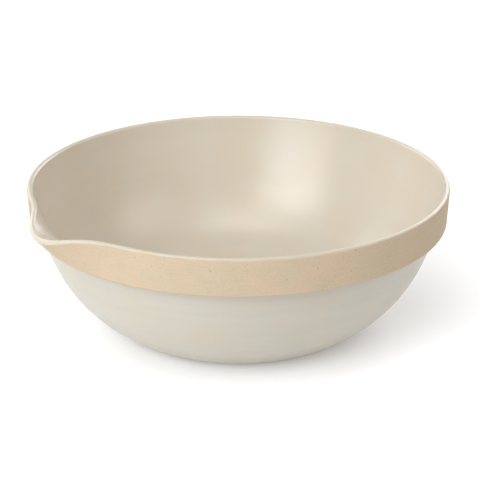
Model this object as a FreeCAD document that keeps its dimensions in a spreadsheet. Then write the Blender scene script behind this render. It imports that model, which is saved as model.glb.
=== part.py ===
import FreeCAD, Part

# A large stoneware mixing bowl with a bare clay band round its rim and a spout pulled out of the band.
#
# It is one fired piece of clay under three coats of glaze: one over the inside and the lip, one over the
# outside below the band, and one on the ceiling of the recess inside the foot ring. Clay and glaze meet
# face to face.
#
# Frame: millimetres, +Z up, the origin at the centre of the foot ring's lower face, the spout along -X.
# Every outline is drawn in the XZ plane, with X as the distance from the bowl's axis.

import math
import os

import Sketcher
from FreeCAD import Placement, Rotation, Vector

SIZES = (
    ("rim_radius", 165.0, "outside of the band at its top"),
    ("rim_height", 115.0, "foot to the top of the glazed lip"),
    ("edge_round", 2.0, "rounding of the lip and of the band's lower edge"),
    ("band_height", 29.1, "lower edge of the band to the top of the lip"),
    ("band_tilt", 1.85, "degrees that the band leans outward"),
    ("clay_wall", 4.0, "clay between the outside and the inside"),
    ("glaze", 0.5, "thickness of each coat of glaze"),
    ("lip_glaze_edge", 37.0, "degrees up the lip's outer rounding where the glaze stops"),
    ("upper_centre_out", -244.0, "centre of the wall's upper arc, from the axis"),
    ("upper_centre_up", 207.3, "centre of the wall's upper arc, above the table"),
    ("upper_radius", 419.5, "upper arc of the clay's outside"),
    ("lower_radius", 116.7, "lower arc of the clay's outside"),
    ("wall_join_angle", -20.4, "degrees, where the wall's two arcs meet"),
    ("floor_join_angle", -40.0, "degrees, where the inside wall turns into the floor"),
    ("floor_height", 9.0, "top of the clay floor"),
    ("base_round", 4.0, "rounding of the wall's lower edge"),
    ("foot_height", 2.5, "underside of the wall above the table"),
    ("foot_outer", 93.0, "outer radius of the foot ring"),
    ("foot_inner", 85.0, "inner radius of the foot ring"),
    ("foot_round", 1.0, "rounding of the foot ring's edges"),
    ("recess_height", 3.0, "ceiling of the recess inside the foot ring"),
    ("spout_half_angle", 26.0, "degrees from the spout's middle to where it dies into the band"),
    ("spout_tilt", 45.5, "degrees that the band is tipped outward at the spout's middle"),
    ("spout_sharpness", 2.12, "how closely the tipping gathers to the spout's middle"),
    ("spout_bend", 6.0, "height of the band over which the tipping eases in"),
)
SPOUT_STEPS = 16  # sections across the spout, less one


class Size:
    """A number together with the formula, in the sheet's words, that it comes from."""

    def __init__(self, value, formula):
        self.value = value
        self.formula = formula

    @staticmethod
    def of(thing):
        return thing if isinstance(thing, Size) else Size(float(thing), repr(float(thing)))

    def joined(self, other, sign, value):
        return Size(value, f"({self.formula} {sign} {other.formula})")

    def __add__(self, other):
        other = Size.of(other)
        return self.joined(other, "+", self.value + other.value)

    def __sub__(self, other):
        other = Size.of(other)
        return self.joined(other, "-", self.value - other.value)

    def __mul__(self, other):
        other = Size.of(other)
        return self.joined(other, "*", self.value * other.value)

    def __truediv__(self, other):
        other = Size.of(other)
        return self.joined(other, "/", self.value / other.value)


def sine(angle):
    return Size(math.sin(math.radians(angle.value)), f"sin({angle.formula})")


def cosine(angle):
    return Size(math.cos(math.radians(angle.value)), f"cos({angle.formula})")


def tangent(angle):
    return Size(math.tan(math.radians(angle.value)), f"tan({angle.formula})")


def root(number):
    return Size(math.sqrt(number.value), f"sqrt({number.formula})")


class Arc:
    """A circle in the outline's plane, of which an outline uses a stretch."""

    def __init__(self, centre, radius):
        self.centre = centre
        self.radius = radius

    def offset(self, by):
        return Arc(self.centre, self.radius + by)

    def towards(self, across, up):
        """The point on the circle in the direction (across, up), which has length 1."""
        return (self.centre[0] + self.radius * across, self.centre[1] + self.radius * up)

    def at(self, angle):
        return self.towards(cosine(angle), sine(angle))

    def at_height(self, height):
        """The point at a height, on the side away from the bowl's axis."""
        drop = height - self.centre[1]
        return (self.centre[0] + root(self.radius * self.radius - drop * drop), height)


class Edge:
    """One edge of a closed outline, from its start to the next edge's start: straight, or along an arc."""

    def __init__(self, start, arc=None):
        self.start = start
        self.arc = arc


def make_sheet(document):
    sheet = document.addObject("Spreadsheet::Sheet", "Sizes")
    for row, (name, value, note) in enumerate(SIZES, start=1):
        sheet.set(f"A{row}", note)
        sheet.set(f"B{row}", str(value))
        sheet.setAlias(f"B{row}", name)
    document.recompute()
    return sheet


class Outlines:
    """The bowl's outlines, each a closed loop of edges worked out from the sheet."""

    def __init__(self, sheet):
        size = {name: Size(float(getattr(sheet, name)), f"Sizes.{name}") for name, _, _ in SIZES}
        self.size = size
        zero = Size.of(0)
        join, turn = size["wall_join_angle"], size["floor_join_angle"]
        rounding = size["edge_round"]

        # The outside of the wall: two arcs that run into each other without a corner.
        upper_centre = (size["upper_centre_out"], size["upper_centre_up"])
        self.outer_upper = Arc(upper_centre, size["upper_radius"])
        to_lower = Arc(upper_centre, size["upper_radius"] - size["lower_radius"])
        self.outer_lower = Arc(to_lower.at(join), size["lower_radius"])

        # The wall's lower edge rounds under to the foot.
        base_reach = size["lower_radius"] - size["base_round"]
        base_drop = size["foot_height"] + size["base_round"] - self.outer_lower.centre[1]
        self.base_turn = self.unit(base_drop / base_reach)
        self.base = Arc(Arc(self.outer_lower.centre, base_reach).towards(*self.base_turn), size["base_round"])

        # The inside keeps the same centres, and a third arc runs it into the flat floor.
        self.inner_upper = self.outer_upper.offset(zero - size["clay_wall"])
        self.inner_lower = self.outer_lower.offset(zero - size["clay_wall"])
        turned = self.inner_lower.at(turn)
        floor_radius = (turned[1] - size["floor_height"]) / (sine(turn) + 1)
        self.floor = Arc(Arc(turned, zero - floor_radius).at(turn), floor_radius)

        # The lip: an inner and an outer rounding with a narrow flat between them.
        lip_height = size["rim_height"] - size["glaze"] - rounding
        lip_reach = self.inner_upper.radius + rounding
        self.lip_turn = self.unit((lip_height - upper_centre[1]) / lip_reach)
        self.lip_inner = Arc(Arc(upper_centre, lip_reach).towards(*self.lip_turn), rounding)
        self.lip_outer = Arc((size["rim_radius"] - rounding, lip_height), rounding)

        # The band's lower edge has the lip's rounding, so the face between them touches both alike.
        self.band_foot = size["rim_height"] - size["band_height"]
        edge_height = self.band_foot + rounding
        lean = (lip_height - edge_height) * tangent(size["band_tilt"])
        self.band_edge = Arc((size["rim_radius"] - rounding - lean, edge_height), rounding)
        self.face_turn = (cosine(size["band_tilt"]), zero - sine(size["band_tilt"]))

    @staticmethod
    def unit(up):
        """The direction of length 1 that rises by up and leads away from the bowl's axis."""
        return (root(Size.of(1) - up * up), up)

    def clay(self):
        """The fired clay, from the middle of the floor over the rim and down to the foot."""
        size = self.size
        join = size["wall_join_angle"]
        up, down, level = Size.of(90), Size.of(-90), Size.of(0)
        foot_out = Arc((size["foot_outer"] - size["foot_round"], size["foot_round"]), size["foot_round"])
        foot_in = Arc((size["foot_inner"] + size["foot_round"], size["foot_round"]), size["foot_round"])
        return [
            Edge((level, size["floor_height"])),
            Edge(self.floor.at(down), self.floor),
            Edge(self.inner_lower.at(size["floor_join_angle"]), self.inner_lower),
            Edge(self.inner_upper.at(join), self.inner_upper),
            Edge(self.inner_upper.towards(*self.lip_turn), self.lip_inner),
            Edge(self.lip_inner.at(up)),
            Edge(self.lip_outer.at(up), self.lip_outer),
            Edge(self.lip_outer.towards(*self.face_turn)),
            Edge(self.band_edge.towards(*self.face_turn), self.band_edge),
            Edge(self.band_edge.at(down)),
            Edge(self.outer_upper.at_height(self.band_foot), self.outer_upper),
            Edge(self.outer_lower.at(join), self.outer_lower),
            Edge(self.base.towards(*self.base_turn), self.base),
            Edge(self.base.at(down)),
            Edge((size["foot_outer"], size["foot_height"])),
            Edge(foot_out.at(level), foot_out),
            Edge(foot_out.at(down)),
            Edge(foot_in.at(down), foot_in),
            Edge((size["foot_inner"], size["foot_round"])),
            Edge((size["foot_inner"], size["recess_height"])),
            Edge((level, size["recess_height"])),
        ]

    def inside_glaze(self):
        """The coat over the inside, the lip and the top of the lip's outer rounding."""
        size = self.size
        join, turn, stop = size["wall_join_angle"], size["floor_join_angle"], size["lip_glaze_edge"]
        up, down, level, coat = Size.of(90), Size.of(-90), Size.of(0), size["glaze"]
        thin = level - coat
        floor, lower, upper = (arc.offset(thin) for arc in (self.floor, self.inner_lower, self.inner_upper))
        lip_inner, lip_outer = self.lip_inner.offset(coat), self.lip_outer.offset(coat)
        return [
            Edge((level, size["floor_height"])),
            Edge(self.floor.at(down), self.floor),
            Edge(self.inner_lower.at(turn), self.inner_lower),
            Edge(self.inner_upper.at(join), self.inner_upper),
            Edge(self.inner_upper.towards(*self.lip_turn), self.lip_inner),
            Edge(self.lip_inner.at(up)),
            Edge(self.lip_outer.at(up), self.lip_outer),
            Edge(self.lip_outer.at(stop)),
            Edge(lip_outer.at(stop), lip_outer),
            Edge(lip_outer.at(up)),
            Edge(lip_inner.at(up), lip_inner),
            Edge(upper.towards(*self.lip_turn), upper),
            Edge(upper.at(join), lower),
            Edge(lower.at(turn), floor),
            Edge(floor.at(down)),
            Edge((level, size["floor_height"] + coat)),
        ]

    def outside_glaze(self):
        """The coat on the outside, from under the band to where the wall has rounded under."""
        join, coat, down = self.size["wall_join_angle"], self.size["glaze"], Size.of(-90)
        upper, lower = self.outer_upper.offset(coat), self.outer_lower.offset(coat)
        base = self.base.offset(coat)
        return [
            Edge(self.outer_upper.at_height(self.band_foot), self.outer_upper),
            Edge(self.outer_lower.at(join), self.outer_lower),
            Edge(self.base.towards(*self.base_turn), self.base),
            Edge(self.base.at(down)),
            Edge(base.at(down), base),
            Edge(base.towards(*self.base_turn), lower),
            Edge(lower.at(join), upper),
            Edge(upper.at_height(self.band_foot)),
        ]


def flat(point):
    """A point of an outline, as a vector in its sketch's own plane."""
    return Vector(point[0].value, point[1].value, 0)


def sketch_edge(edge, end):
    """The sketch geometry of an edge, and which of its two ends comes first along the outline."""
    start, end = flat(edge.start), flat(end)
    if edge.arc is None:
        return Part.LineSegment(start, end), 1
    centre = flat(edge.arc.centre)
    first, last = (math.atan2(p.y - centre.y, p.x - centre.x) for p in (start, end))
    circle = Part.Circle(centre, Vector(0, 0, 1), edge.arc.radius.value)
    if (last - first) % (2 * math.pi) < math.pi:
        return Part.ArcOfCircle(circle, first, last), 1
    return Part.ArcOfCircle(circle, last, first), 2


def draw(sketch, outline):
    """Draws an outline and ties each corner and each arc's radius to the sheet."""
    ends = []
    for edge, following in zip(outline, outline[1:] + outline[:1]):
        geometry, first = sketch_edge(edge, following.start)
        ends.append((sketch.addGeometry(geometry, False), first))
    for (edge, first), (following, joined) in zip(ends, ends[1:] + ends[:1]):
        sketch.addConstraint(Sketcher.Constraint("Coincident", edge, 3 - first, following, joined))
    for edge, (index, first) in zip(outline, ends):
        for kind, axis, coordinate in (("DistanceX", -2, edge.start[0]), ("DistanceY", -1, edge.start[1])):
            if abs(coordinate.value) < 1e-9:
                sketch.addConstraint(Sketcher.Constraint("PointOnObject", index, first, axis))
            else:
                tie(sketch, (kind, -1, 1, index, first), coordinate)
        if edge.arc is not None:
            tie(sketch, ("Radius", index), edge.arc.radius)


def tie(sketch, what, size):
    """Adds a measured constraint whose value follows the sheet."""
    number = sketch.addConstraint(Sketcher.Constraint(*what, size.value))
    sketch.setExpression(f"Constraints[{number}]", size.formula)


def turned_body(document, name, outline):
    """A body turned about the bowl's axis, as on a wheel."""
    body = document.addObject("PartDesign::Body", name)
    plane = next(f for f in body.Origin.OriginFeatures if f.Role == "XZ_Plane")
    sketch = body.newObject("Sketcher::SketchObject", f"{name}_outline")
    sketch.AttachmentSupport = [(plane, "")]
    sketch.MapMode = "FlatFace"
    draw(sketch, outline)
    turn = body.newObject("PartDesign::Revolution", f"{name}_turn")
    turn.Profile = sketch
    turn.ReferenceAxis = (sketch, ["V_Axis"])
    turn.Angle = 360
    return body


class Spout:
    """The sector of the band that is tipped outward to make the pouring spout."""

    def __init__(self, outlines):
        size = outlines.size
        self.outlines = outlines
        self.half = size["spout_half_angle"].value
        self.tilt = math.radians(size["spout_tilt"].value)
        self.sharpness = size["spout_sharpness"].value
        self.bend = size["spout_bend"].value
        self.hinge_out = (outlines.band_edge.centre[0] + size["edge_round"]).value
        self.hinge_up = outlines.band_foot.value
        self.lip_way = 180 + math.degrees(math.asin(outlines.lip_turn[1].value))

    def tilt_at(self, angle):
        """How far the band is tipped, in radians, at an angle in degrees from the spout's middle."""
        return self.tilt * (0.5 + 0.5 * math.cos(math.pi * angle / self.half)) ** self.sharpness

    def place(self, point, angle):
        """Tips a point of the upright band about the band's lower edge, and turns it to its angle."""
        out, up = point
        tilt = self.tilt_at(angle)
        depth, rise = self.hinge_out - out, up - self.hinge_up
        if tilt > 1e-9:
            eased = min(rise, self.bend)
            turn = tilt * eased / self.bend
            straight = rise - eased
            along = (1 - math.cos(turn)) * self.bend / tilt + straight * math.sin(turn)
            above = math.sin(turn) * self.bend / tilt + straight * math.cos(turn)
            out = self.hinge_out + along - depth * math.cos(turn)
            up = self.hinge_up + above + depth * math.sin(turn)
        way = math.radians(180 + angle)
        return Vector(out * math.cos(way), out * math.sin(way), up)

    def heights(self, low, high):
        """Heights from low to high, closer together where the tipping eases in."""
        knee = max(low, self.hinge_up + self.bend)
        eased = [low + (knee - low) * step / 4 for step in range(4)]
        return eased + [knee + (high - knee) * step / 4 for step in range(5)]

    def line(self, points, angle):
        return Part.LineSegment(*(self.place(p, angle) for p in points)).toShape()

    def rounding(self, arc, first, last, angle):
        """A stretch of one of the small roundings, between two directions in degrees."""
        ways = [Size.of(first + (last - first) * step / 2) for step in range(3)]
        points = [numbers(arc.at(way)) for way in ways]
        return Part.Arc(*(self.place(p, angle) for p in points)).toShape()

    def curve(self, points, angle):
        spline = Part.BSplineCurve()
        spline.interpolate([self.place(p, angle) for p in points])
        return spline.toShape()

    def wall(self, arc):
        """Points up the inside of the wall from the band's lower edge to the lip's inner rounding."""
        top = arc.towards(*self.outlines.lip_turn)[1].value
        return [numbers(arc.at_height(Size.of(z))) for z in self.heights(self.hinge_up, top)]

    def face(self):
        """Points down the band's outer face, between its two roundings."""
        outlines = self.outlines
        top = numbers(outlines.lip_outer.towards(*outlines.face_turn))
        low = numbers(outlines.band_edge.towards(*outlines.face_turn))
        slope = (top[0] - low[0]) / (top[1] - low[1])
        return [(low[0] + (z - low[1]) * slope, z) for z in reversed(self.heights(low[1], top[1]))]

    def clay_section(self, angle):
        """The closed outline of the band and the wall behind it, at an angle from the spout's middle."""
        outlines = self.outlines
        tilt = outlines.size["band_tilt"].value
        lips = (outlines.lip_inner, outlines.lip_outer)
        inside = self.wall(outlines.inner_upper)
        return Part.Wire([
            self.curve(inside, angle),
            self.rounding(lips[0], self.lip_way, 90, angle),
            self.line([numbers(arc.at(Size.of(90))) for arc in lips], angle),
            self.rounding(lips[1], 90, -tilt, angle),
            self.curve(self.face(), angle),
            self.rounding(outlines.band_edge, -tilt, -90, angle),
            self.line([numbers(outlines.band_edge.at(Size.of(-90))), inside[0]], angle),
        ])

    def glaze_section(self, angle):
        """The closed outline of the coat on that stretch of the wall and over the lip."""
        outlines = self.outlines
        coat, stop = outlines.size["glaze"], outlines.size["lip_glaze_edge"]
        lips = (outlines.lip_inner, outlines.lip_outer)
        coated = tuple(arc.offset(coat) for arc in lips)
        inside = self.wall(outlines.inner_upper)
        glazed = self.wall(outlines.inner_upper.offset(Size.of(0) - coat))
        return Part.Wire([
            self.curve(inside, angle),
            self.rounding(lips[0], self.lip_way, 90, angle),
            self.line([numbers(arc.at(Size.of(90))) for arc in lips], angle),
            self.rounding(lips[1], 90, stop.value, angle),
            self.line([numbers(arc.at(stop)) for arc in (lips[1], coated[1])], angle),
            self.rounding(coated[1], stop.value, 90, angle),
            self.line([numbers(arc.at(Size.of(90))) for arc in reversed(coated)], angle),
            self.rounding(coated[0], 90, self.lip_way, angle),
            self.curve(glazed[::-1], angle),
            self.line([glazed[0], inside[0]], angle),
        ])

    def loft(self, section):
        """The solid through a section at each step across the spout."""
        step = 2 * self.half / SPOUT_STEPS
        return Part.makeLoft([section(i * step - self.half) for i in range(SPOUT_STEPS + 1)], True, False)


def numbers(point):
    return (point[0].value, point[1].value)


def spout_gap(document, outlines, name):
    """The wedge of space that the spout's sector of the band takes."""
    gap = document.addObject("Part::Cylinder", f"{name}_gap")
    gap.setExpression("Radius", "Sizes.rim_radius * 1.5")
    gap.setExpression("Height", "Sizes.rim_height")
    gap.setExpression("Angle", "Sizes.spout_half_angle * 2")
    start = 180 - outlines.size["spout_half_angle"].value
    gap.Placement = Placement(Vector(0, 0, outlines.band_foot.value), Rotation(Vector(0, 0, 1), start))
    gap.setExpression("Placement.Base.z", outlines.band_foot.formula)
    gap.setExpression("Placement.Rotation.Angle", "180 - Sizes.spout_half_angle")
    return gap


def spouted(document, label, outline, section, outlines):
    """A turned body whose band is cut away at the spout and joined to the tipped sector instead."""
    turned = turned_body(document, f"{label}_turned", outline)
    opened = document.addObject("Part::Cut", f"{label}_opened")
    opened.Base = turned
    opened.Tool = spout_gap(document, outlines, label)
    sector = document.addObject("Part::Feature", f"{label}_spout")
    sector.Shape = Spout(outlines).loft(section)
    sector.Placement = Placement()
    piece = document.addObject("Part::MultiFuse", label)
    piece.Shapes = [opened, sector]
    piece.Refine = True
    piece.Label = label
    piece.Placement = Placement()
    return piece


def stoneware_body(document, outlines):
    """The one piece of fired clay: wall, floor, foot ring, band and spout."""
    spout = Spout(outlines)
    return spouted(document, "stoneware_body", outlines.clay(), spout.clay_section, outlines)


def inside_glaze(document, outlines):
    """The glossy liner coat over the inside and the lip, the spout included."""
    spout = Spout(outlines)
    return spouted(document, "inside_glaze", outlines.inside_glaze(), spout.glaze_section, outlines)


def outside_glaze(document, outlines):
    """The satin coat on the outside below the band."""
    body = turned_body(document, "outside_glaze", outlines.outside_glaze())
    body.Label = "outside_glaze"
    body.Placement = Placement()
    return body


def foot_recess_glaze(document):
    """The coat on the ceiling of the recess inside the foot ring."""
    coat = document.addObject("Part::Cylinder", "foot_recess_glaze")
    coat.Label = "foot_recess_glaze"
    coat.setExpression("Radius", "Sizes.foot_inner")
    coat.setExpression("Height", "Sizes.glaze")
    coat.setExpression("Placement.Base.z", "Sizes.recess_height - Sizes.glaze")
    return coat


def check(document, pieces):
    """Stops the run if any object failed or any piece is missing or broken."""
    for item in document.Objects:
        if "Invalid" in item.State or "Error" in item.State:
            raise RuntimeError(f"{item.Name} failed: {item.State}")
    for piece in pieces:
        shape = piece.Shape
        if shape.isNull() or not shape.isValid() or len(shape.Solids) != 1:
            raise RuntimeError(f"{piece.Label} is not one sound solid")


def main():
    document = FreeCAD.newDocument("mixing_bowl")
    outlines = Outlines(make_sheet(document))
    pieces = [
        stoneware_body(document, outlines),
        inside_glaze(document, outlines),
        outside_glaze(document, outlines),
        foot_recess_glaze(document),
    ]
    document.recompute()
    check(document, pieces)
    os.makedirs("parts", exist_ok=True)
    for piece in pieces:
        piece.Shape.exportStep(f"parts/{piece.Label}.step")
        box = piece.Shape.BoundBox
        print(f"{piece.Label}: {piece.Shape.Volume / 1000:.1f} cm3, "
              f"{box.XLength:.1f} x {box.YLength:.1f} x {box.ZLength:.1f} mm")


main()
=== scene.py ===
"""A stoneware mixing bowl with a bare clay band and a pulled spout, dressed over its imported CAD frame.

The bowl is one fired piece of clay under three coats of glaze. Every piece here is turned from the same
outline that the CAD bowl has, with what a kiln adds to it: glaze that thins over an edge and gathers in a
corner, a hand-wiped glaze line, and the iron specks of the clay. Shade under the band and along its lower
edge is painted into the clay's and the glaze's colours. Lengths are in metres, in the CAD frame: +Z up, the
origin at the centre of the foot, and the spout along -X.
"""

import logging
import math
from dataclasses import dataclass
from enum import Enum
from typing import Iterable

import bpy
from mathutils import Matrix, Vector, noise


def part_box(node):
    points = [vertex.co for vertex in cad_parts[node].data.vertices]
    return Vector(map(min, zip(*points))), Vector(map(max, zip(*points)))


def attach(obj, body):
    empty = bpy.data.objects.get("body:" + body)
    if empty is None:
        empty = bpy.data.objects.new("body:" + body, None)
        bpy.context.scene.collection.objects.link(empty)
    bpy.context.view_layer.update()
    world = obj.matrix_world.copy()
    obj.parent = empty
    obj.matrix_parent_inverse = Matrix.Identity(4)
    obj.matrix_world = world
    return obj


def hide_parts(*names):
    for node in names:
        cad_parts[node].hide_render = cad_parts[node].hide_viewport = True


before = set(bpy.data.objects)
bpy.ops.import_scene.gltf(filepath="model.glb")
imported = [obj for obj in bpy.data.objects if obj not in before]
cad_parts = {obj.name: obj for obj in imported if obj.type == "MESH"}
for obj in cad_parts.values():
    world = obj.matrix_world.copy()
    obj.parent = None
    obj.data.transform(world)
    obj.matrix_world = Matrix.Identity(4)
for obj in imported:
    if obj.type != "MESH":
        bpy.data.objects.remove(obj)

MM = 0.001
BODY = "root"
WHITE = (1.0, 1.0, 1.0, 1.0)
NO_TILT = 1e-6
ON_AXIS = 1e-9

Point = tuple[float, float]
Socket = bpy.types.NodeSocket
log = logging.getLogger("mixing_bowl")


class Slot(Enum):
    """The record's material slots, which the finishes are named after."""

    CLAY = "bare_stoneware"
    GLOSS = "gloss_white_glaze"
    SATIN = "satin_white_glaze"


# --------------------------------------------------------------------------- outline


@dataclass(frozen=True)
class Spot:
    """A point of an outline, with what the glaze or clay does there.

    Attributes:
        out: distance from the bowl's axis.
        up: height above the table.
        lift: how far a coat's surface may swell or sink there, 0 to 1.
        mark: a value for the finish to read, such as how near a glaze edge is, 0 to 1.
    """

    out: float
    up: float
    lift: float = 0.0
    mark: float = 0.0


@dataclass(frozen=True)
class Arc:
    """A circle in the outline's plane, of which an outline uses a stretch.

    Attributes:
        centre: the circle's centre, as distance from the axis and height.
        radius: the circle's radius.
    """

    centre: Point
    radius: float

    def offset(self, by: float) -> "Arc":
        """The circle with the same centre and a radius larger by an amount."""
        return Arc(self.centre, self.radius + by)

    def at(self, degrees: float) -> Point:
        """The point on the circle in a direction, in degrees above outward."""
        way = math.radians(degrees)
        return (self.centre[0] + self.radius * math.cos(way), self.centre[1] + self.radius * math.sin(way))

    def angle_at(self, height: float) -> float:
        """The direction, in degrees, of the outer point at a height."""
        return math.degrees(math.asin((height - self.centre[1]) / self.radius))

    def stretch(self, first: float, last: float, steps: int) -> list[Point]:
        """Points along the circle.

        Args:
            first: direction of the first point, in degrees.
            last: direction of the last point, in degrees.
            steps: number of steps between them.

        Returns:
            The points, both ends included.
        """
        return [self.at(first + (last - first) * i / steps) for i in range(steps + 1)]


@dataclass(frozen=True)
class BowlForm:
    """The bowl's outline and the shape of its spout, with the CAD model's driving sizes.

    Attributes:
        rim_radius: outside of the band at its top.
        rim_height: foot to the top of the glazed lip.
        band_foot: height of the band's lower edge.
        floor_height: top of the clay floor.
        foot_inner: inner radius of the foot ring.
        recess_height: ceiling of the recess inside the foot ring.
        coat: thickness of each coat of glaze.
        edge_round: rounding of the lip and of the band's lower edge.
        band_tilt: degrees that the band leans outward.
        clay_wall: clay between the outside and the inside.
        upper_centre: centre of the wall's upper arc, as distance from the axis and height.
        upper_radius: upper arc of the clay's outside.
        lower_radius: lower arc of the clay's outside.
        wall_join: degrees, where the wall's two arcs meet.
        floor_join: degrees, where the inside wall turns into the floor.
        base_round: rounding of the wall's lower edge.
        foot_height: underside of the wall above the table.
        foot_outer: outer radius of the foot ring.
        foot_round: rounding of the foot ring's edges.
        spout_half_angle: degrees from the spout's middle to where it dies into the band.
        spout_tilt: degrees that the band is tipped outward at the spout's middle.
        spout_sharpness: how closely the tipping gathers to the spout's middle.
        spout_bend: height of the band over which the tipping eases in.
        spout_creases: creases inside the spout, each as its height above the band's lower edge and how far
            the surface stands in there from the even bend.
        bevel_end: how far above the centre of the lip's rounding the bevel over the creases runs out, as a
            share of the rounding.
        fine_under_band: height below the band over which the outline has close points.
    """

    rim_radius: float
    band_foot: float
    floor_height: float
    foot_inner: float
    recess_height: float
    coat: float
    rim_height: float = 115.0 * MM
    edge_round: float = 2.0 * MM
    band_tilt: float = 1.85
    clay_wall: float = 4.0 * MM
    upper_centre: Point = (-244.0 * MM, 207.3 * MM)
    upper_radius: float = 419.5 * MM
    lower_radius: float = 116.7 * MM
    wall_join: float = -20.4
    floor_join: float = -40.0
    base_round: float = 4.0 * MM
    foot_height: float = 2.5 * MM
    foot_outer: float = 93.0 * MM
    foot_round: float = 1.0 * MM
    spout_half_angle: float = 26.0
    spout_tilt: float = 45.5
    spout_sharpness: float = 2.12
    spout_bend: float = 6.0 * MM
    spout_creases: tuple[tuple[float, float], ...] = ((14.0 * MM, 1.8 * MM), (20.5 * MM, 1.3 * MM))
    bevel_end: float = 0.85
    fine_under_band: float = 9 * MM

    @classmethod
    def from_frame(cls) -> "BowlForm":
        """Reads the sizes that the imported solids' boxes give.

        Returns:
            The bowl's form, in metres.
        """
        clay_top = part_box("stoneware_body")[1]
        recess_low, recess_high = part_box("foot_recess_glaze")
        return cls(
            rim_radius=clay_top.y,
            band_foot=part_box("outside_glaze")[1].z,
            floor_height=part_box("inside_glaze")[0].z,
            foot_inner=recess_high.x,
            recess_height=recess_high.z,
            coat=recess_high.z - recess_low.z,
        )

    @property
    def outer_upper(self) -> Arc:
        """Upper arc of the clay's outside."""
        return Arc(self.upper_centre, self.upper_radius)

    @property
    def outer_lower(self) -> Arc:
        """Lower arc of the clay's outside, which runs on from the upper one without a corner."""
        return Arc(self.outer_upper.offset(-self.lower_radius).at(self.wall_join), self.lower_radius)

    @property
    def inner_upper(self) -> Arc:
        """Upper arc of the clay's inside."""
        return self.outer_upper.offset(-self.clay_wall)

    @property
    def inner_lower(self) -> Arc:
        """Lower arc of the clay's inside."""
        return self.outer_lower.offset(-self.clay_wall)

    @property
    def floor(self) -> Arc:
        """The arc that runs the inside wall into the flat floor.

        Returns:
            The floor's arc, tangent to the wall's inside and to the flat.
        """
        turned = self.inner_lower.at(self.floor_join)
        radius = (turned[1] - self.floor_height) / (1 + math.sin(math.radians(self.floor_join)))
        return Arc(Arc(turned, -radius).at(self.floor_join), radius)

    @property
    def base(self) -> Arc:
        """The rounding of the wall's lower edge.

        Returns:
            The rounding's circle, tangent to the wall and to its underside.
        """
        reach = self.outer_lower.offset(-self.base_round)
        turn = reach.angle_at(self.foot_height + self.base_round)
        return Arc(reach.at(turn), self.base_round)

    @property
    def base_turn(self) -> float:
        """Direction, in degrees, where the wall meets that rounding."""
        return self.outer_lower.offset(-self.base_round).angle_at(self.foot_height + self.base_round)

    @property
    def lip_height(self) -> float:
        """Height of the centres of the lip's two roundings."""
        return self.rim_height - self.coat - self.edge_round

    @property
    def lip_turn(self) -> float:
        """Direction, in degrees, where the inside wall meets the lip's inner rounding."""
        return self.inner_upper.offset(self.edge_round).angle_at(self.lip_height)

    @property
    def lip_inner(self) -> Arc:
        """The lip's inner rounding."""
        return Arc(self.inner_upper.offset(self.edge_round).at(self.lip_turn), self.edge_round)

    @property
    def lip_outer(self) -> Arc:
        """The lip's outer rounding."""
        return Arc((self.rim_radius - self.edge_round, self.lip_height), self.edge_round)

    @property
    def band_edge(self) -> Arc:
        """The rounding of the band's lower edge.

        Returns:
            The rounding's circle.
        """
        up = self.band_foot + self.edge_round
        lean = (self.lip_height - up) * math.tan(math.radians(self.band_tilt))
        return Arc((self.rim_radius - self.edge_round - lean, up), self.edge_round)

    def inside(self, inset: float) -> list[Point]:
        """The inside from the middle of the floor to the lip's inner rounding.

        Args:
            inset: how far the outline lies inside the clay's surface.

        Returns:
            The outline's points.
        """
        floor, lower, upper = (arc.offset(-inset) for arc in (self.floor, self.inner_lower, self.inner_upper))
        flat_end = floor.at(-90)
        flat = [(flat_end[0] * i / 8, flat_end[1]) for i in range(8)]
        bend_top = upper.angle_at(self.band_foot + 2.2 * self.spout_bend)
        bend_low = upper.angle_at(self.band_foot)
        return [
            *flat,
            *floor.stretch(-90, self.floor_join, 16)[:-1],
            *lower.stretch(self.floor_join, self.wall_join, 10)[:-1],
            *upper.stretch(self.wall_join, bend_low, 10)[:-1],
            *upper.stretch(bend_low, bend_top, 12)[:-1],
            *upper.stretch(bend_top, self.lip_turn, 10),
        ]

    def outside(self, outset: float) -> list[Point]:
        """The outside from the band's lower edge to where the wall has rounded under.

        Args:
            outset: how far the outline lies outside the clay's surface.

        Returns:
            The outline's points.
        """
        upper, lower, base = (arc.offset(outset) for arc in (self.outer_upper, self.outer_lower, self.base))
        top, under = upper.angle_at(self.band_foot), upper.angle_at(self.band_foot - self.fine_under_band)
        return [
            *upper.stretch(top, under, 18)[:-1],
            *upper.stretch(under, self.wall_join, 14)[:-1],
            *lower.stretch(self.wall_join, self.base_turn, 30)[:-1],
            *base.stretch(self.base_turn, -90, 6),
        ]

    def band_face(self) -> list[Point]:
        """The band's outer face, from the lip's outer rounding down to its lower rounding.

        Returns:
            The face's points, both ends included.
        """
        steps = 26
        top, low = self.lip_outer.at(-self.band_tilt), self.band_edge.at(-self.band_tilt)
        fall = (low[0] - top[0], low[1] - top[1])
        return [(top[0] + fall[0] * i / steps, top[1] + fall[1] * i / steps) for i in range(steps + 1)]

    def tilt_at(self, degrees: float) -> float:
        """How far the band is tipped, in radians, at an angle from the spout's middle.

        Args:
            degrees: angle from the spout's middle.

        Returns:
            The angle of tipping, 0 outside the spout.
        """
        if abs(degrees) >= self.spout_half_angle:
            return 0.0
        share = 0.5 + 0.5 * math.cos(math.pi * degrees / self.spout_half_angle)
        return math.radians(self.spout_tilt) * share**self.spout_sharpness

    def pinch_at(self, rise: float) -> float:
        """How far the inside of the spout stands in from an even bend, at a height above the band's edge.

        Args:
            rise: height above the band's lower edge.

        Returns:
            The distance inward, at the spout's middle.
        """
        top = self.lip_height - self.band_foot + self.bevel_end * self.edge_round
        turns = ((0.0, 0.0), *self.spout_creases, (top, 0.0))
        for (low, start), (high, end) in zip(turns, turns[1:]):
            if low <= rise < high:
                return start + (end - start) * (rise - low) / (high - low)
        return 0.0

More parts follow.
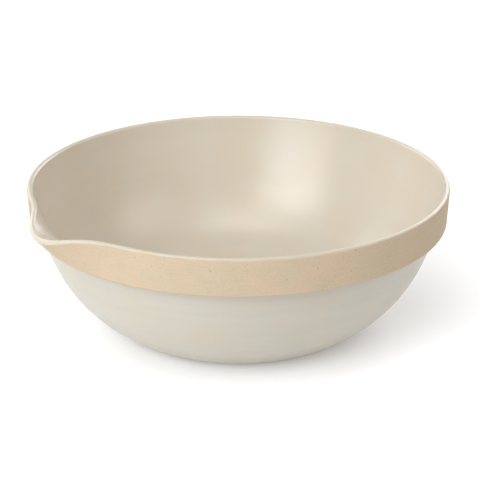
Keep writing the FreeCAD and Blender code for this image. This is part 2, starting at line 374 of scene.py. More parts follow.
    def place(self, out: float, up: float, degrees: float) -> Vector:
        """Puts a point of the outline round the bowl, and tips it outward with the spout.

        Args:
            out: distance from the axis on the upright outline.
            up: height on the upright outline.
            degrees: angle from the spout's middle.

        Returns:
            The point in the bowl's frame.
        """
        tilt = self.tilt_at(degrees)
        rise = up - self.band_foot
        if tilt > NO_TILT and rise > 0:
            hinge = self.band_edge.centre[0] + self.edge_round
            if out < self.rim_radius - 2 * self.edge_round:
                out -= self.pinch_at(rise) * tilt / math.radians(self.spout_tilt)
            depth, eased = hinge - out, min(rise, self.spout_bend)
            turn, straight = tilt * eased / self.spout_bend, max(rise - self.spout_bend, 0.0)
            along = (1 - math.cos(turn)) * self.spout_bend / tilt + straight * math.sin(turn)
            above = math.sin(turn) * self.spout_bend / tilt + straight * math.cos(turn)
            out = hinge + along - depth * math.cos(turn)
            up = self.band_foot + above + depth * math.sin(turn)
        way = math.radians(180 + degrees)
        return Vector((out * math.cos(way), out * math.sin(way), up))


# --------------------------------------------------------------------------- finishes


def linear(hex_colour: str) -> tuple[float, float, float, float]:
    """Turns an sRGB hex colour to linear light.

    Args:
        hex_colour: six hex digits after a hash sign.

    Returns:
        Red, green, blue and a full alpha.
    """
    parts = [int(hex_colour[i : i + 2], 16) / 255 for i in (1, 3, 5)]
    light = [c / 12.92 if c <= 0.04045 else ((c + 0.055) / 1.055) ** 2.4 for c in parts]
    return (*light, 1.0)


class Tree:
    """The node tree of a material, a lamp or the world, under construction."""

    def __init__(self, owner: bpy.types.Material | bpy.types.Light | bpy.types.World) -> None:
        """Turns the owner's nodes on and clears them.

        Args:
            owner: what the tree belongs to.
        """
        owner.use_nodes = True
        self.tree = owner.node_tree
        self.tree.nodes.clear()

    def add(self, kind: str, inputs: dict | None = None, **settings: object) -> bpy.types.Node:
        """Adds a node with its settings, values and links.

        Args:
            kind: the node's type name.
            inputs: what each input takes, by name or number: a value, or a socket to link from.
            settings: properties of the node itself.

        Returns:
            The node.
        """
        made = self.tree.nodes.new(kind)
        for name, value in settings.items():
            setattr(made, name, value)
        for name, value in (inputs or {}).items():
            if isinstance(value, Socket):
                self.tree.links.new(value, made.inputs[name])
            else:
                made.inputs[name].default_value = value
        return made


@dataclass(frozen=True)
class Specks:
    """Iron grains in the clay body, which melt to brown dots at the surface.

    Attributes:
        spacing: mean distance between grains.
        size: radius of the largest grain's dot.
        share: share of the grains that reach the surface, 0 to 1.
        colour: colour of the dot.
        strength: how dark the dot is, 0 to 1.
        softness: share of the dot, from its edge, over which it darkens.
    """

    spacing: float
    size: float
    share: float
    colour: str
    strength: float
    softness: float = 0.35

    def mask(self, t: Tree, place: Socket) -> Socket:
        """Builds the dots' mask.

        Args:
            t: the tree to build in.
            place: the coordinates that the dots are spread over.

        Returns:
            A socket that is the dot's strength inside it and 0 outside.
        """
        largest = self.size / self.spacing
        cells = t.add("ShaderNodeTexVoronoi", {"Vector": place, "Scale": 1 / self.spacing, "Randomness": 1.0})
        chosen = t.add("ShaderNodeSeparateColor", {"Color": cells.outputs["Color"]})
        reach = t.add(
            "ShaderNodeMapRange",
            {"Value": chosen.outputs["Red"], "From Min": 1 - self.share, "From Max": 1.0, "To Max": largest},
        )
        depth = t.add(
            "ShaderNodeMath", {0: reach.outputs["Result"], 1: cells.outputs["Distance"]}, operation="SUBTRACT"
        )
        dot = t.add(
            "ShaderNodeMapRange",
            {"Value": depth.outputs[0], "From Max": largest * self.softness, "To Max": self.strength},
            interpolation_type="SMOOTHSTEP",
        )
        return dot.outputs["Result"]


def cloud(t: Tree, place: Socket, grain: float, detail: float, low: float, high: float) -> Socket:
    """A soft random pattern.

    Args:
        t: the tree to build in.
        place: the coordinates.
        grain: size of one blot.
        detail: number of finer layers in it.
        low: noise value that gives 0.
        high: noise value that gives 1.

    Returns:
        A socket from 0 to 1.
    """
    made = t.add("ShaderNodeTexNoise", {"Vector": place, "Scale": 1 / grain, "Detail": detail})
    span = t.add("ShaderNodeMapRange", {"Value": made.outputs["Fac"], "From Min": low, "From Max": high})
    return span.outputs["Result"]


def layered(t: Tree, base: str, layers: Iterable[tuple[str, Socket, float]]) -> Socket:
    """Lays colours over one another.

    Args:
        t: the tree to build in.
        base: hex colour of the lowest layer.
        layers: each further layer's hex colour, the pattern that it follows, and how strongly it shows.

    Returns:
        The colour on top.
    """
    colour = linear(base)
    for upper, pattern, strength in layers:
        share = t.add("ShaderNodeMath", {0: pattern, 1: strength}, operation="MULTIPLY")
        # Of the mix node's sockets, 0, 6, 7 and 2 are the ones for colours.
        mixed = t.add("ShaderNodeMix", {0: share.outputs[0], 6: colour, 7: linear(upper)}, data_type="RGBA")
        colour = mixed.outputs[2]
    return colour


def weighted(t: Tree, patterns: Iterable[tuple[Socket, float]], start: float = 0.0) -> Socket:
    """Adds patterns up, for a relief or a roughness.

    Args:
        t: the tree to build in.
        patterns: each pattern and its weight.
        start: the value that they are added to.

    Returns:
        The sum's socket.
    """
    total = start
    for pattern, weight in patterns:
        added = t.add("ShaderNodeMath", {0: pattern, 1: weight, 2: total}, operation="MULTIPLY_ADD")
        total = added.outputs[0]
    return total


@dataclass(frozen=True)
class BareStoneware:
    """Buff stoneware, turned on a wheel, wiped clean of glaze and fired bare.

    Fired clay is dry and chalky, so it has no gloss to speak of. It is warm tan with soft flashes where the
    flame touched it, faint rings from the turning tool, a sandy tooth, and iron specks melted to brown dots.

    Attributes:
        tan: colour of most of the clay.
        flash: pinker colour where the flame touched it.
        ash: cooler colour of the smaller patches.
        sand: pale colour along the turning rings.
        shade: colour of the darker grains, and of the painted shade on the band's lower edge.
        roughness: how matt the clay is between its grains.
        relief: depth of the tooth, the rings and the pits.
        flash_size: size of the flashes.
        ring_height: height of the turning rings.
        ring_stretch: how much shorter than high the rings are scaled, so that they run round the bowl.
        fleck_size: size of the small pinker flecks.
        grit: size of the grains, drawn coarser than real sand so that they show.
        specks: the iron grains, coarse and fine.
    """

    tan: str = "#BEAE94"
    flash: str = "#C4AE94"
    ash: str = "#BAAD91"
    sand: str = "#CBBFA9"
    shade: str = "#9C8B72"
    roughness: float = 0.82
    relief: float = 0.12 * MM
    flash_size: float = 34 * MM
    ring_height: float = 0.9 * MM
    ring_stretch: float = 0.06
    fleck_size: float = 3.2 * MM
    grit: float = 0.9 * MM
    specks: tuple[Specks, ...] = (
        Specks(spacing=2.8 * MM, size=0.70 * MM, share=0.34, colour="#71563B", strength=0.42),
        Specks(spacing=1.3 * MM, size=0.42 * MM, share=0.46, colour="#80654A", strength=0.40),
    )

    def make(self) -> bpy.types.Material:
        """Builds the material.

        Returns:
            The material, which reads the piece's "mark" values.
        """
        material = bpy.data.materials.new(Slot.CLAY.value)
        t = Tree(material)
        place = t.add("ShaderNodeTexCoord").outputs["Object"]
        turned = (self.ring_stretch, self.ring_stretch, 1.0)
        rings = t.add("ShaderNodeMapping", {"Vector": place, "Scale": turned}).outputs["Vector"]
        tool = cloud(t, rings, self.ring_height, 3, 0.35, 0.7)
        sand = cloud(t, place, self.grit, 2, 0.38, 0.72)
        painted_edge_shade = t.add("ShaderNodeAttribute", attribute_name="mark").outputs["Fac"]
        dots = [grain.mask(t, place) for grain in self.specks]
        layers = [
            (self.flash, cloud(t, place, self.flash_size, 3, 0.42, 0.62), 1.0),
            (self.ash, cloud(t, place, self.flash_size * 0.4, 4, 0.5, 0.72), 1.0),
            (self.flash, cloud(t, place, self.fleck_size, 2, 0.45, 0.7), 0.55),
            (self.sand, tool, 0.22),
            (self.shade, sand, 0.20),
            # The clay's mark paints shade on the band's lower edge, where it turns under.
            (self.shade, painted_edge_shade, 0.45),
            *((grain.colour, dot, 1.0) for grain, dot in zip(self.specks, dots)),
        ]
        height = weighted(t, [(sand, 0.6), (tool, 0.5), (dots[0], -0.8)])
        bump = t.add("ShaderNodeBump", {"Height": height, "Strength": 0.35, "Distance": self.relief})
        surface = t.add(
            "ShaderNodeBsdfPrincipled",
            {
                "Base Color": layered(t, self.tan, layers),
                "Roughness": weighted(t, [(sand, 0.12)], self.roughness),
                "Specular IOR Level": 0.3,
                "Normal": bump.outputs["Normal"],
            },
        )
        t.add("ShaderNodeOutputMaterial", {"Surface": surface.outputs[0]})
        return material


@dataclass(frozen=True)
class StonewareGlaze:
    """Off-white stoneware glaze, poured or sprayed and melted over a buff body.

    Melted glaze is a sheet of glass with a milky body. The clay shows through it as faint specks and warmer
    where it runs thin over an edge, and it looks cooler and deeper where it gathers.

    Attributes:
        slot: the material's slot, and its name.
        milk: colour of a full coat.
        warm: colour of the slightly thinner patches.
        thin: colour where the coat runs thin over an edge, also used for painted shade just under the band.
        deep_and_shade: colour where the coat gathers, also used for painted shade under the band.
        roughness: how soft the reflections are.
        mottle: size of the patches.
        waviness: depth of the ripples that a melted coat keeps.
        ring_height: height of the spraying or turning rings that show through.
        ring_strength: how strongly they show.
        specks: the iron grains that show through.
        ring_stretch: how much shorter than high the rings are scaled, so that they run round the bowl.
        ripple: size of the ripples.
        peel: size of the finer dimples between them.
        thin_dulling: how much rougher the coat is where it runs thin.
        refraction: the glaze's refractive index, which is that of glass.
    """

    slot: Slot
    milk: str
    warm: str
    thin: str
    deep_and_shade: str
    roughness: float
    mottle: float
    waviness: float
    ring_height: float
    ring_strength: float
    specks: tuple[Specks, ...]
    ring_stretch: float = 0.05
    ripple: float = 7 * MM
    peel: float = 1.6 * MM
    thin_dulling: float = 0.3
    refraction: float = 1.52

    def make(self) -> bpy.types.Material:
        """Builds the material.

        Returns:
            The material, which reads the piece's "mark" values.
        """
        material = bpy.data.materials.new(self.slot.value)
        t = Tree(material)
        place = t.add("ShaderNodeTexCoord").outputs["Object"]
        turned = (self.ring_stretch, self.ring_stretch, 1.0)
        rings = t.add("ShaderNodeMapping", {"Vector": place, "Scale": turned}).outputs["Vector"]
        ring = cloud(t, rings, self.ring_height, 2, 0.3, 0.7)
        # The "mark" is above 0 where the coat is thin and below 0 where it gathers; just under the band both
        # also paint shade.
        mark = t.add("ShaderNodeAttribute", attribute_name="mark").outputs["Fac"]
        thin = t.add("ShaderNodeMapRange", {"Value": mark, "From Max": 1.0}).outputs["Result"]
        pooled_and_shaded = t.add("ShaderNodeMapRange", {"Value": mark, "From Max": -1.0}).outputs["Result"]
        layers = [
            (self.warm, cloud(t, place, self.mottle, 3, 0.4, 0.66), 1.0),
            (self.deep_and_shade, ring, self.ring_strength),
            *((grain.colour, grain.mask(t, place), 1.0) for grain in self.specks),
            (self.thin, thin, 1.0),
            (self.deep_and_shade, pooled_and_shaded, 1.0),
        ]
        ripple = cloud(t, place, self.ripple, 1, 0.2, 0.8)
        peel = cloud(t, place, self.peel, 1, 0.2, 0.8)
        height = weighted(t, [(ripple, 1.0), (peel, 0.10), (ring, self.ring_strength * 0.6)])
        bump = t.add("ShaderNodeBump", {"Height": height, "Strength": 0.5, "Distance": self.waviness})
        dull = cloud(t, place, self.mottle * 0.6, 3, 0.35, 0.7)
        surface = t.add(
            "ShaderNodeBsdfPrincipled",
            {
                "Base Color": layered(t, self.milk, layers),
                "Roughness": weighted(t, [(dull, 0.07), (thin, self.thin_dulling)], self.roughness),
                "IOR": self.refraction,
                "Normal": bump.outputs["Normal"],
            },
        )
        t.add("ShaderNodeOutputMaterial", {"Surface": surface.outputs[0]})
        return material


GLOSS_WHITE = StonewareGlaze(
    slot=Slot.GLOSS,
    milk="#D0C8B9",
    warm="#D1C6B4",
    thin="#C3B8A4",
    deep_and_shade="#C6C0B0",
    roughness=0.16,
    mottle=26 * MM,
    waviness=0.05 * MM,
    ring_height=9 * MM,
    ring_strength=0.12,
    specks=(Specks(spacing=4.6 * MM, size=0.55 * MM, share=0.3, colour="#A9906D", strength=0.30),),
)

SATIN_WHITE = StonewareGlaze(
    slot=Slot.SATIN,
    milk="#BCB7AA",
    warm="#BEB6A6",
    # The thin colour and the gathered colour below it also paint the shade under the band.
    thin="#B39E82",
    deep_and_shade="#A9A799",
    roughness=0.34,
    mottle=30 * MM,
    waviness=0.04 * MM,
    ring_height=5 * MM,
    ring_strength=0.18,
    specks=(Specks(spacing=5.2 * MM, size=0.6 * MM, share=0.35, colour="#968464", strength=0.32),),
)


# --------------------------------------------------------------------------- pieces


def stand(name: str, data: bpy.types.ID) -> bpy.types.Object:
    """Puts a new object that shows some data into the scene.

    Args:
        name: the object's name.
        data: its mesh, lamp or camera.

    Returns:
        The object.
    """
    made = bpy.data.objects.new(name, data)
    bpy.context.scene.collection.objects.link(made)
    return made


@dataclass
class TurnedPiece:
    """A closed piece turned round the bowl's axis, and tipped outward with the spout.

    Attributes:
        node: the CAD node that the piece stands for.
        slot: the record's material slot for it; not used.
        form: the bowl's outline.
        columns: number of steps round the bowl.
        swell: how far a coat's surface sinks at most, as the melt leaves it.
        swell_size: distance between one such swell and the next.
        crease: angle between faces, in degrees, from which their edge is kept sharp.
    """

    node: str
    slot: str
    form: BowlForm
    columns: int = 288
    swell: float = 0.0
    swell_size: float = 24 * MM
    crease: float = 40.0

    def outline(self, degrees: float) -> list[Spot]:
        """The closed outline at an angle from the spout's middle; each piece has its own."""
        raise NotImplementedError

    def point(self, spot: Spot, following: Spot, before: Spot, degrees: float) -> Vector:
        """Places one spot, with the melt's gentle hollows.

        Args:
            spot: the spot to place.
            following: the next spot of the outline.
            before: the spot before it.
            degrees: angle from the spout's middle.

        Returns:
            The vertex.
        """
        out, up = spot.out, spot.up
        if self.swell and spot.lift:
            way = math.radians(degrees)
            where = Vector((out * math.cos(way), out * math.sin(way), up)) / self.swell_size
            sunk = self.swell * spot.lift * (0.5 + 0.5 * noise.noise(where))
            run = Vector((following.out - before.out, following.up - before.up)).normalized()
            out, up = out + run.y * sunk, up - run.x * sunk
        return self.form.place(max(out, 0.0), up, degrees)

    def build(self) -> bpy.types.Object:
        """Turns the outline into a closed mesh.

        Returns:
            The piece, with smooth faces and a "mark" value on every vertex.
        """
        rings = [self.outline(360 * i / self.columns - 180) for i in range(self.columns)]
        count = len(rings[0])
        on_axis = [rings[0][i].out < ON_AXIS for i in range(count)]
        vertices: list[Vector] = []
        marks: list[float] = []
        index: list[list[int]] = []
        for column, ring in enumerate(rings):
            degrees = 360 * column / self.columns - 180
            row = []
            for i, spot in enumerate(ring):
                if on_axis[i] and column:
                    row.append(index[0][i])
                    continue
                row.append(len(vertices))
                vertices.append(self.point(spot, ring[(i + 1) % count], ring[i - 1], degrees))
                marks.append(spot.mark)
            index.append(row)
        mesh = bpy.data.meshes.new(self.node)
        mesh.from_pydata(vertices, [], list(self.faces(index, on_axis)))
        mesh.validate()
        mesh.update()
        mesh.shade_smooth()
        mesh.set_sharp_from_angle(angle=math.radians(self.crease))
        layer = mesh.attributes.new("mark", "FLOAT", "POINT")
        layer.data.foreach_set("value", marks)
        return stand(f"{self.node}_form", mesh)

    @staticmethod
    def faces(index: list[list[int]], on_axis: list[bool]) -> Iterable[tuple[int, ...]]:
        """The faces between neighbouring columns.

        Args:
            index: the vertex numbers of each column.
            on_axis: whether each row lies on the axis.

        Yields:
            Each face's vertex numbers.
        """
        count = len(on_axis)
        for i, row in enumerate(index):
            after = index[(i + 1) % len(index)]
            for j in range(count):
                k = (j + 1) % count
                if on_axis[j] and on_axis[k]:
                    continue
                if on_axis[j]:
                    yield (row[j], row[k], after[k])
                elif on_axis[k]:
                    yield (row[j], row[k], after[j])
                else:
                    yield (row[j], row[k], after[k], after[j])

    def dress(self, piece: bpy.types.Object, material: bpy.types.Material) -> None:
        """Gives the piece its finish, hangs it on the body, and hides the CAD part that it replaces.

        Args:
            piece: the built piece.
            material: its finish.
        """
        piece.data.materials.append(material)
        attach(piece, BODY)
        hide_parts(self.node)
        log.info("%s: %d vertices", piece.name, len(piece.data.vertices))


@dataclass
class FiredClay(TurnedPiece):
    """The fired clay: floor, wall, rim band, spout and foot ring in one piece.

    Attributes:
        edge_shade_reach: how far above the band's lower edge the painted shade reaches.
        edge_shade_strength: how strong the painted shade is at the edge itself, 0 to 1.
    """

    edge_shade_reach: float = 1.4 * MM
    edge_shade_strength: float = 0.6

    def outline(self, degrees: float) -> list[Spot]:
        """The clay's closed outline, from the middle of the floor over the rim and down to the foot.

        Args:
            degrees: angle from the spout's middle.

        Returns:
            The outline's spots, in order.
        """
        form = self.form
        foot_out = Arc((form.foot_outer - form.foot_round, form.foot_round), form.foot_round)
        foot_in = Arc((form.foot_inner + form.foot_round, form.foot_round), form.foot_round)
        points = [
            *form.inside(0.0),
            *form.lip_inner.stretch(180 + form.lip_turn, 90, 8)[1:],
            *form.lip_outer.stretch(90, -form.band_tilt, 10)[:-1],
            *form.band_face(),
            *form.band_edge.stretch(-form.band_tilt, -90, 10)[1:],
            *form.outside(0.0),
            (form.foot_outer, form.foot_height),
            *foot_out.stretch(0, -90, 5),
            *foot_in.stretch(-90, -180, 5),
            (form.foot_inner, form.recess_height),
            (form.foot_inner * 0.5, form.recess_height),
            (0.0, form.recess_height),
        ]
        return [Spot(out, up, mark=self.painted_edge_shade(out, up)) for out, up in points]

    def painted_edge_shade(self, out: float, up: float) -> float:
        """How much painted shade the clay takes at a point: most at the band's lower edge, 0 away from it.

        Args:
            out: distance from the axis.
            up: height above the table.

        Returns:
            The painted shade, 0 to 1.
        """
        form = self.form
        if out < form.band_edge.centre[0]:
            return 0.0
        return max(0.0, 1 - (up - form.band_foot) / self.edge_shade_reach) * self.edge_shade_strength


@dataclass
class InsideGlaze(TurnedPiece):
    """The glossy liner coat, over the inside and the lip, wiped off level with the top of the band.

    Attributes:
        stop: degrees up the lip's outer rounding where the coat ends on average.
        wander: degrees that the wiped line strays.
        slow_wander: how quickly its main stray changes round the lip.
        quick_wander: how quickly the smaller stray on top of that changes.
        bead: length over which the coat's edge rounds off.
        crest_thin: how thin the coat is on the lip's crest, 0 to 1.
        edge_thin: how much thinner it is at its wiped edge.
        spout_thin: how thin it is inside the spout, next to the lip.
    """

    stop: float = 37.0
    wander: float = 9.0
    slow_wander: float = 9.0
    quick_wander: float = 31.0
    bead: float = 1.1 * MM
    crest_thin: float = 0.5
    edge_thin: float = 0.45
    spout_thin: float = 0.45

    def outline(self, degrees: float) -> list[Spot]:
        """The coat's closed outline: up its surface, over its edge and back along the clay.

        Args:
            degrees: angle from the spout's middle.

        Returns:
            The outline's spots, in order.
        """
        form = self.form
        stop = self.stop + self.wander * self.stray(degrees)
        pulled = self.spout_thin * form.tilt_at(degrees) / math.radians(form.spout_tilt)
        surface = [Spot(*p, lift=1.0, mark=pulled * self.near_lip(p[1])) for p in form.inside(form.coat)]
        lip = [Spot(*p) for p in form.lip_inner.offset(form.coat).stretch(180 + form.lip_turn, 90, 8)[1:]]
        edge = []
        steps = 14
        for i in range(steps + 1):
            angle = 90 + (stop - 90) * i / steps
            left = math.radians(angle - stop) * form.edge_round
            full = min(left / self.bead, 1.0)
            coat = form.coat * math.sqrt(max(full * (2 - full), 0.0))
            mark = self.crest_thin + (1 - full) * self.edge_thin
            edge.append(Spot(*form.lip_outer.offset(coat).at(angle), mark=mark))
        back = [Spot(*p) for p in form.lip_outer.stretch(stop, 90, 6)[1:]]
        back += [Spot(*p) for p in form.lip_inner.stretch(90, 180 + form.lip_turn, 6)[:-1]]
        back += [Spot(*p) for p in reversed(form.inside(0.0))]
        return [*surface, *self.thinned(lip, pulled), *edge, *back]

    def stray(self, degrees: float) -> float:
        """How far the wiped edge strays there: a slow wander and half as much of a quick one.

        Args:
            degrees: angle from the spout's middle.

        Returns:
            The stray, about -1 to 1.
        """
        way = math.radians(degrees)
        slow = noise.noise(Vector((math.cos(way), math.sin(way), 0.0)) * self.slow_wander)
        quick = noise.noise(Vector((math.cos(way), math.sin(way), 0.7)) * self.quick_wander)
        return slow + 0.5 * quick

    def near_lip(self, up: float) -> float:
        """How near the lip a height on the inside is: 0 to half-way up the band, 1 at its top."""
        rise = (up - self.form.band_foot) / (self.form.lip_height - self.form.band_foot)
        return min(max(2 * rise - 1, 0.0), 1.0)

    def thinned(self, lip: list[Spot], least: float) -> list[Spot]:
        """The lip's spots, marked as thinner towards the crest, where the melt has drawn away."""
        return [Spot(s.out, s.up, mark=max(self.crest_thin * i / len(lip), least)) for i, s in enumerate(lip)]


@dataclass
class OutsideGlaze(TurnedPiece):
    """The satin coat on the outside, gathered under the band and beaded at its lower edge.

    Attributes:
        bare: height of the thin top edge, where the clay shows through and shade under the band is painted.
        pool: how far below the band the gathered glaze, and its painted shade, reaches.
        pool_depth: how much thicker the coat is in the corner.
        bead: length over which the lower edge rounds off.
        bare_and_shade_mark: how strongly the clay and painted shade show at the very top, past the finish's
            own full strength.
        pool_and_shade_mark: how strongly the gathered glaze and its painted shade show.
        bead_mark: how strongly the thin lower edge shows.
    """

    bare: float = 3.6 * MM
    pool: float = 8.0 * MM
    pool_depth: float = 0.7 * MM
    bead: float = 1.6 * MM
    bare_and_shade_mark: float = 1.6
    pool_and_shade_mark: float = 0.75
    bead_mark: float = 0.7

    def outline(self, degrees: float) -> list[Spot]:
        """The coat's closed outline: down its surface, round its bead and back up the clay.

        Args:
            degrees: angle from the spout's middle.

        Returns:
            The outline's spots, in order.
        """
        form = self.form
        surface = form.outside(form.coat)
        clay = form.outside(0.0)
        low = surface[-1]
        spots = []
        for (out, up), (clay_out, clay_up) in zip(surface, clay):
            below = form.band_foot - up
            near = max(0.0, 1 - below / self.pool)
            thin = max(0.0, 1 - below / self.bare)
            bead = min(math.hypot(out - low[0], up - low[1]) / self.bead, 1.0)
            kept = math.sqrt(bead * (2 - bead))
            across = clay_out + (out - clay_out) * kept + self.pool_depth * near**4
            height = clay_up + (up - clay_up) * kept
            # Just under the band the thin and gathered marks paint shade, besides bare clay and gathered
            # glaze.
            mark = self.bead_mark * (1 - kept) + self.bare_and_shade_mark * thin**0.7 - self.pool_and_shade_mark * near
            spots.append(Spot(across, height, lift=(1 - near) * kept, mark=mark))
        return [*spots, *(Spot(*p) for p in reversed(clay[:-1]))]


@dataclass
class FootRecessGlaze(TurnedPiece):
    """The satin coat on the ceiling of the recess inside the foot ring.

    Attributes:
        creep: width of the strip next to the ring where the melt gathers.
        creep_mark: how strongly the gathered glaze shows.
    """

    creep: float = 1.0 * MM
    creep_mark: float = 0.6

    def outline(self, degrees: float) -> list[Spot]:
        """The coat's closed outline, from the middle of its lower face to the ring and back.

        Args:
            degrees: angle from the spout's middle.

        Returns:
            The outline's spots, in order.
        """
        form = self.form
        low = form.recess_height - form.coat
        edge = form.foot_inner
        flat = [Spot((edge - self.creep) * i / 20, low, lift=1.0) for i in range(20)]
        turn = [Spot(edge - self.creep * (1 - i / 4), low, mark=-self.creep_mark * i / 4) for i in range(5)]
        top = [Spot(edge * i / 4, form.recess_height) for i in range(4, -1, -1)]
        return [*reversed(top), *reversed(turn), *reversed(flat)]


# --------------------------------------------------------------------------- studio


@dataclass(frozen=True)
class Softbox:
    """A rectangular lamp behind cloth, aimed at the bowl.

    Attributes:
        name: the lamp's name.
        azimuth: where it stands, in degrees round from the camera's side towards its right.
        elevation: degrees above the bowl.
        width: width of its cloth.
        height: height of its cloth.
        radiance: brightness of the cloth.
        distance: distance from the bowl.
        softness: share of the cloth, from each edge, over which its glow fades.
        colour: colour of its light.
    """

    name: str
    azimuth: float
    elevation: float
    width: float
    height: float
    radiance: float
    distance: float = 2.2
    softness: float = 0.5
    colour: str = "#FFFFFF"

    def place(self, aim: Vector, camera_azimuth: float) -> None:
        """Stands the lamp and points it at a place.

        Args:
            aim: the place that it lights.
            camera_azimuth: azimuth of the camera, which the lamp's own is counted from.
        """
        lamp = bpy.data.lights.new(self.name, "AREA")
        lamp.shape = "RECTANGLE"
        lamp.size, lamp.size_y = self.width, self.height
        lamp.energy = self.radiance * math.pi * self.width * self.height
        lamp.color = linear(self.colour)[:3]
        t = Tree(lamp)
        cloth = t.add("ShaderNodeSeparateXYZ", {0: t.add("ShaderNodeNewGeometry").outputs["Parametric"]})
        fades = {side: self.fade(t, cloth, side) for side in (0, 1)}
        share = t.add("ShaderNodeMath", fades, operation="MULTIPLY")
        glow = t.add("ShaderNodeEmission", {"Strength": share.outputs[0]})
        t.add("ShaderNodeOutputLight", {"Surface": glow.outputs[0]})
        softbox = stand(self.name, lamp)
        back = direction(camera_azimuth + self.azimuth, self.elevation)
        softbox.location = aim + back * self.distance
        softbox.rotation_euler = back.to_track_quat("Z", "Y").to_euler()
        softbox.visible_camera = False

    def fade(self, t: Tree, cloth: bpy.types.Node, side: int) -> Socket:
        """The cloth's glow across one of its sides, full in the middle and falling to its edges.

        Args:
            t: the lamp's tree.
            cloth: the node that splits the place on the cloth into its two sides.
            side: 0 for the width, 1 for the height.

        Returns:
            The share of full glow, 0 to 1.
        """
        middle = t.add("ShaderNodeMath", {0: cloth.outputs[side], 1: 0.5}, operation="SUBTRACT")
        away = t.add("ShaderNodeMath", {0: middle.outputs[0]}, operation="ABSOLUTE")
        edge = t.add(
            "ShaderNodeMapRange",
            {"Value": away.outputs[0], "From Min": 0.5, "From Max": 0.5 - self.softness},
            interpolation_type="SMOOTHSTEP",
        )
        return edge.outputs["Result"]


def direction(azimuth: float, elevation: float) -> Vector:
    """The way from the bowl to something at an azimuth and elevation, in degrees."""
    a, e = math.radians(azimuth), math.radians(elevation)
    return Vector((math.sin(a) * math.cos(e), -math.cos(a) * math.cos(e), math.sin(e)))


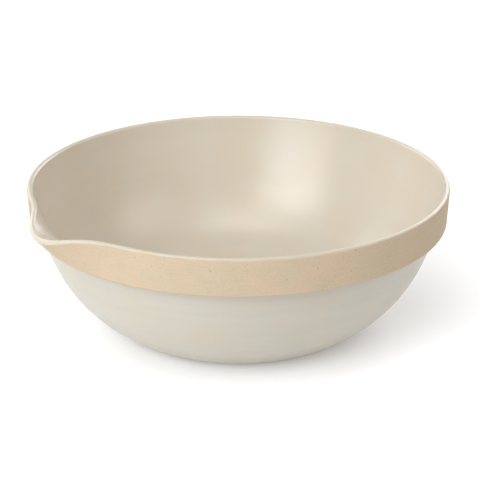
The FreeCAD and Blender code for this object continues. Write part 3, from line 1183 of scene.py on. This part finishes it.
@dataclass(frozen=True)
class Studio:
    """A pale table, soft lamps and the camera.

    Attributes:
        camera_azimuth: degrees round from -Y, so that the spout lies at the left, towards the camera.
        camera_reach: distance from the bowl's axis to the camera, along the table.
        camera_height: height of the camera above the table.
        aim_height: height on the axis that the camera looks at.
        aim_right: how far to the right of the axis it looks.
        lens: focal length for the sensor's width, in millimetres.
        sensor: width of the sensor, in millimetres.
        table_colour: colour of the table.
        table_glow: light that the table sends back from the rest of a white room.
        table_radius: radius of the table's round top.
        table_grain: size of the grain in the table's matt surface.
        room_light: brightness of the room's pale walls.
        lamps: the lamps, from the camera's side round to behind the bowl.
    """

    camera_azimuth: float = -38.9
    camera_reach: float = 931 * MM
    camera_height: float = 448.5 * MM
    aim_height: float = 60.4 * MM
    aim_right: float = 1.2 * MM
    lens: float = 93.9
    sensor: float = 36.0
    table_colour: str = "#F2F3F6"
    table_glow: float = 0.20
    table_radius: float = 6.0
    table_grain: float = 2.5 * MM
    room_light: float = 0.20
    lamps: tuple[Softbox, ...] = (
        Softbox(
            name="window_softbox",
            azimuth=-40.0,
            elevation=29.0,
            width=2.1,
            height=2.0,
            radiance=5.2,
            distance=1.8,
            softness=0.4,
            colour="#FBFDFF",
        ),
        Softbox(name="top_softbox", azimuth=-12.0, elevation=68.0, width=3.6, height=2.6, radiance=2.9),
        Softbox(
            name="right_softbox",
            azimuth=84.0,
            elevation=34.0,
            width=3.0,
            height=2.4,
            radiance=1.9,
            colour="#FFF6EE",
        ),
        Softbox(name="left_softbox", azimuth=-138.0, elevation=27.0, width=2.6, height=1.7, radiance=4.7),
        Softbox(name="back_softbox", azimuth=152.0, elevation=22.0, width=2.6, height=1.6, radiance=5.4),
    )

    def build(self) -> None:
        """Sets up the table, the light and the camera."""
        self.table()
        self.room()
        for lamp in self.lamps:
            lamp.place(Vector((0.0, 0.0, self.aim_height)), self.camera_azimuth)
        self.camera()

    def table(self) -> None:
        """Lays the pale table that the bowl stands on."""
        sides = 72
        mesh = bpy.data.meshes.new("table")
        ring = [direction(i * 360 / sides, 0.0) * self.table_radius for i in range(sides)]
        mesh.from_pydata(ring, [], [tuple(range(sides))])
        top = stand("table", mesh)
        material = bpy.data.materials.new("matt_white_table")
        t = Tree(material)
        grain = cloud(t, t.add("ShaderNodeTexCoord").outputs["Object"], self.table_grain, 2, 0.3, 0.7)
        bump = t.add("ShaderNodeBump", {"Height": grain, "Strength": 0.05, "Distance": 0.05 * MM})
        surface = t.add(
            "ShaderNodeBsdfPrincipled",
            {
                "Base Color": linear(self.table_colour),
                "Roughness": weighted(t, [(grain, 0.1)], 0.6),
                "Specular IOR Level": 0.1,
                "Normal": bump.outputs["Normal"],
                "Emission Color": WHITE,
                "Emission Strength": self.table_glow,
            },
        )
        t.add("ShaderNodeOutputMaterial", {"Surface": surface.outputs[0]})
        mesh.materials.append(material)

    def room(self) -> None:
        """Fills the room with even light from its pale walls."""
        world = bpy.data.worlds.new("pale_room")
        t = Tree(world)
        glow = t.add("ShaderNodeBackground", {"Color": WHITE, "Strength": self.room_light})
        t.add("ShaderNodeOutputWorld", {"Surface": glow.outputs[0]})
        scene = bpy.context.scene
        scene.world = world
        scene.view_settings.view_transform = "Standard"

    def camera(self) -> None:
        """Stands the camera above the table, looking a little down on the bowl."""
        lens = bpy.data.cameras.new("camera")
        lens.lens, lens.sensor_width = self.lens, self.sensor
        camera = stand("camera", lens)
        back = direction(self.camera_azimuth, 0.0)
        right = Vector((-back.y, back.x, 0.0))
        camera.location = back * self.camera_reach + Vector((0.0, 0.0, self.camera_height))
        aim = right * self.aim_right + Vector((0.0, 0.0, self.aim_height))
        camera.rotation_euler = (aim - camera.location).to_track_quat("-Z", "Y").to_euler()
        bpy.context.scene.camera = camera


# --------------------------------------------------------------------------- making


def main() -> None:
    """Builds the bowl and its studio."""
    logging.basicConfig(level=logging.INFO, format="%(name)s: %(message)s")
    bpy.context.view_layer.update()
    form = BowlForm.from_frame()
    clay, gloss, satin = BareStoneware().make(), GLOSS_WHITE.make(), SATIN_WHITE.make()
    pieces: list[tuple[TurnedPiece, bpy.types.Material]] = [
        (FiredClay("stoneware_body", Slot.CLAY.value, form), clay),
        (InsideGlaze("inside_glaze", Slot.GLOSS.value, form, swell=0.08 * MM), gloss),
        (OutsideGlaze("outside_glaze", Slot.SATIN.value, form, swell=0.06 * MM), satin),
        (FootRecessGlaze("foot_recess_glaze", Slot.SATIN.value, form, swell=0.05 * MM), satin),
    ]
    for piece, material in pieces:
        piece.dress(piece.build(), material)
    Studio().build()


if __name__ == "__main__":
    main()
